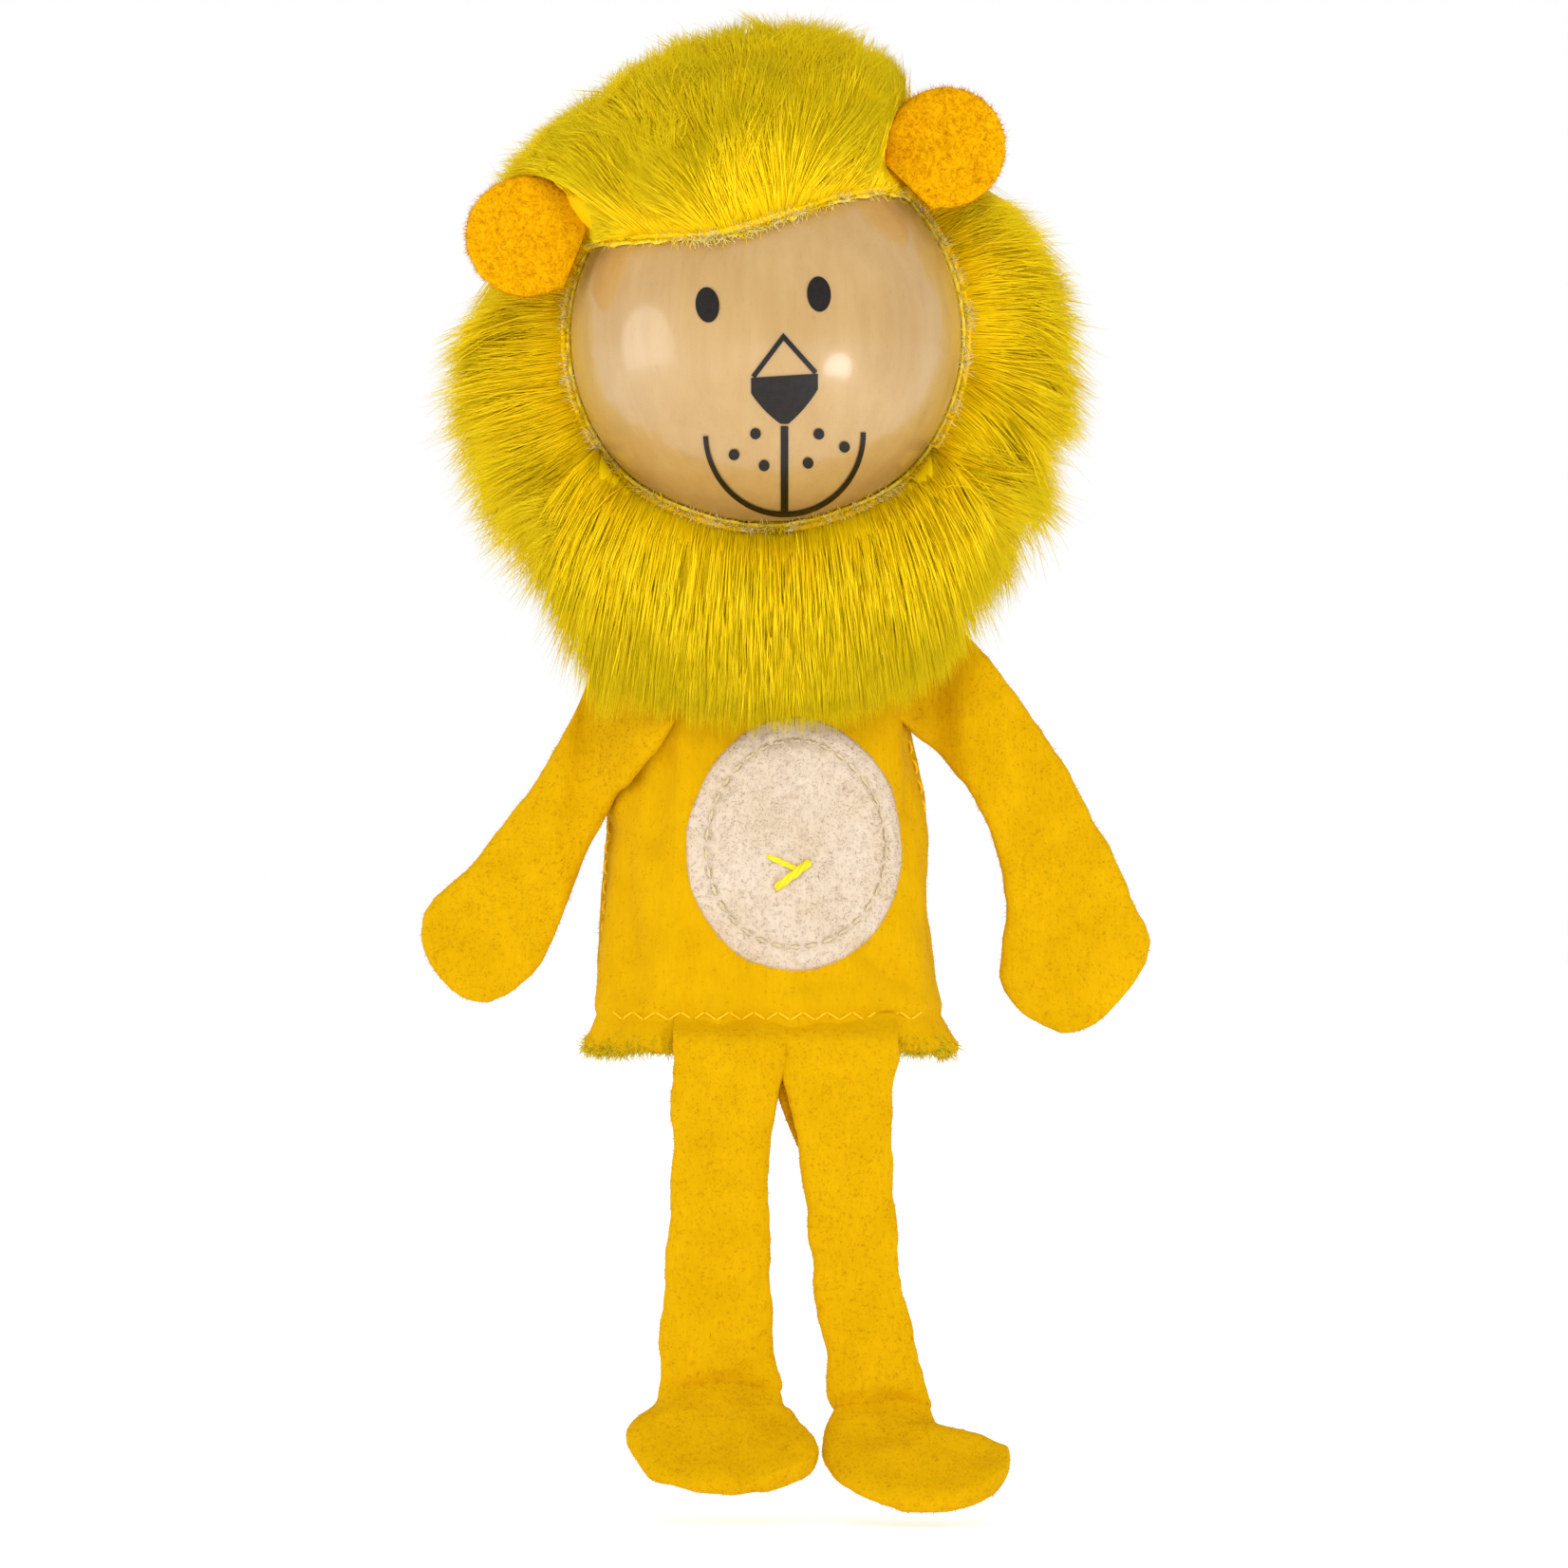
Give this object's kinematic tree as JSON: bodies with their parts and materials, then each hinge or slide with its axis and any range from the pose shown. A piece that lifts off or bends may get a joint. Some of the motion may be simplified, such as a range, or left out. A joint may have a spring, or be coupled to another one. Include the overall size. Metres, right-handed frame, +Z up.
{
  "type": "finger puppet",
  "caption": "Lion finger puppet: painted wooden ball head with a fur mane and felt ears, on a cloth finger tube with floppy cloth arms and legs.",
  "frame": {"origin": "centre of the finger tube's mouth, at the hem", "axes": "+Z up the finger towards the head, -Y the way the face looks, +X the puppet's own left"},
  "size_m": [0.0688, 0.0455, 0.1407],
  "materials": {
    "varnished_wood": "clear varnish",
    "black_paint": "printed line, satin",
    "mane_fur": "long yellow pile",
    "knit_backing": "woven backing of the fur",
    "orange_felt": "dense wool-like felt",
    "yellow_cloth": "brushed knitted cloth",
    "cream_felt": "short brushed pile",
    "yellow_thread": "polyester sewing thread",
    "cream_thread": "polyester sewing thread",
    "bright_thread": "thick embroidery thread"
  },
  "bodies": {
    "torso": {"front_panel": "yellow_cloth", "back_panel": "yellow_cloth", "left_side_seam": "yellow_thread", "right_side_seam": "yellow_thread", "hem_stitches": "yellow_thread", "tummy_patch": "cream_felt", "patch_stitches": "cream_thread", "navel_stitch": "bright_thread", "left_arm_tab": "yellow_cloth", "right_arm_tab": "yellow_cloth", "left_leg_tab": "yellow_cloth", "right_leg_tab": "yellow_cloth"},
    "neck": {"neck_binding": "yellow_thread"},
    "head": {"head_ball": "varnished_wood", "left_eye": "black_paint", "right_eye": "black_paint", "nose": "black_paint", "nose_bridge": "black_paint", "muzzle_line": "black_paint", "smile": "black_paint", "whisker_dots": "black_paint", "mane_backing": "knit_backing", "mane_ruff": "mane_fur", "mane_crown": "mane_fur", "neck_sleeve": "yellow_cloth"},
    "beard": {"beard_backing": "knit_backing", "beard_pile": "mane_fur"},
    "left_ear": {"left_ear": "orange_felt"},
    "right_ear": {"right_ear": "orange_felt"},
    "left_arm": {"left_arm_front": "yellow_cloth", "left_arm_back": "yellow_cloth"},
    "left_leg": {"left_leg_front": "yellow_cloth", "left_leg_back": "yellow_cloth"},
    "left_foot": {"left_foot_upper": "yellow_cloth", "left_foot_sole": "yellow_cloth"},
    "right_arm": {"right_arm_front": "yellow_cloth", "right_arm_back": "yellow_cloth"},
    "right_leg": {"right_leg_front": "yellow_cloth", "right_leg_back": "yellow_cloth"},
    "right_foot": {"right_foot_upper": "yellow_cloth", "right_foot_sole": "yellow_cloth"}
  },
  "joints": [
    {"name": "head_turn", "type": "hinge", "parent": "torso", "child": "neck", "pos_m": [0, 0, 0.046], "axis": [0, 0, 1], "range_deg": [-18, 18], "stiffness_Nm_per_rad": 0.02},
    {"name": "head_nod", "type": "hinge", "parent": "neck", "child": "head", "pos_m": [0, 0, 0.046], "axis": [1, 0, 0], "range_deg": [-20, 15], "stiffness_Nm_per_rad": 0.05},
    {"name": "beard_hang", "type": "hinge", "parent": "head", "child": "beard", "pos_m": [0, -0.0155, 0.05], "axis": [1, 0, 0], "range_deg": [-15, 20]},
    {"name": "left_ear_flap", "type": "hinge", "parent": "head", "child": "left_ear", "pos_m": [0.01334, -0.009, 0.08051], "axis": [0.7193, 0, -0.6947], "range_deg": [-8, 35], "stiffness_Nm_per_rad": 0.002},
    {"name": "right_ear_flap", "type": "hinge", "parent": "head", "child": "right_ear", "pos_m": [-0.0178, -0.009, 0.07389], "axis": [0.3746, 0, 0.9272], "range_deg": [-8, 35], "stiffness_Nm_per_rad": 0.002},
    {"name": "left_arm_swing", "type": "hinge", "parent": "torso", "child": "left_arm", "pos_m": [0.0152, 0, 0.036], "axis": [0, 0, -1], "range_deg": [-60, 75]},
    {"name": "right_arm_swing", "type": "hinge", "parent": "torso", "child": "right_arm", "pos_m": [-0.0159, 0, 0.027], "axis": [0, 0, 1], "range_deg": [-60, 75]},
    {"name": "left_leg_swing", "type": "hinge", "parent": "torso", "child": "left_leg", "pos_m": [0.0075, -0.0101, -0.0013], "axis": [-1, 0, 0], "range_deg": [-45, 90]},
    {"name": "right_leg_swing", "type": "hinge", "parent": "torso", "child": "right_leg", "pos_m": [-0.0038, -0.0101, -0.0013], "axis": [-1, 0, 0], "range_deg": [-45, 90]},
    {"name": "left_foot_bend", "type": "hinge", "parent": "left_leg", "child": "left_foot", "pos_m": [0.0107, -0.0101, -0.0342], "axis": [-1, 0, 0], "range_deg": [-45, 40], "stiffness_Nm_per_rad": 0.001},
    {"name": "right_foot_bend", "type": "hinge", "parent": "right_leg", "child": "right_foot", "pos_m": [-0.0045, -0.0101, -0.0326], "axis": [-1, 0, 0], "range_deg": [-45, 40], "stiffness_Nm_per_rad": 0.001}
  ],
  "couplings": [
    {"joint": "beard_hang", "follows": "head_nod", "ratio": -1}
  ]
}
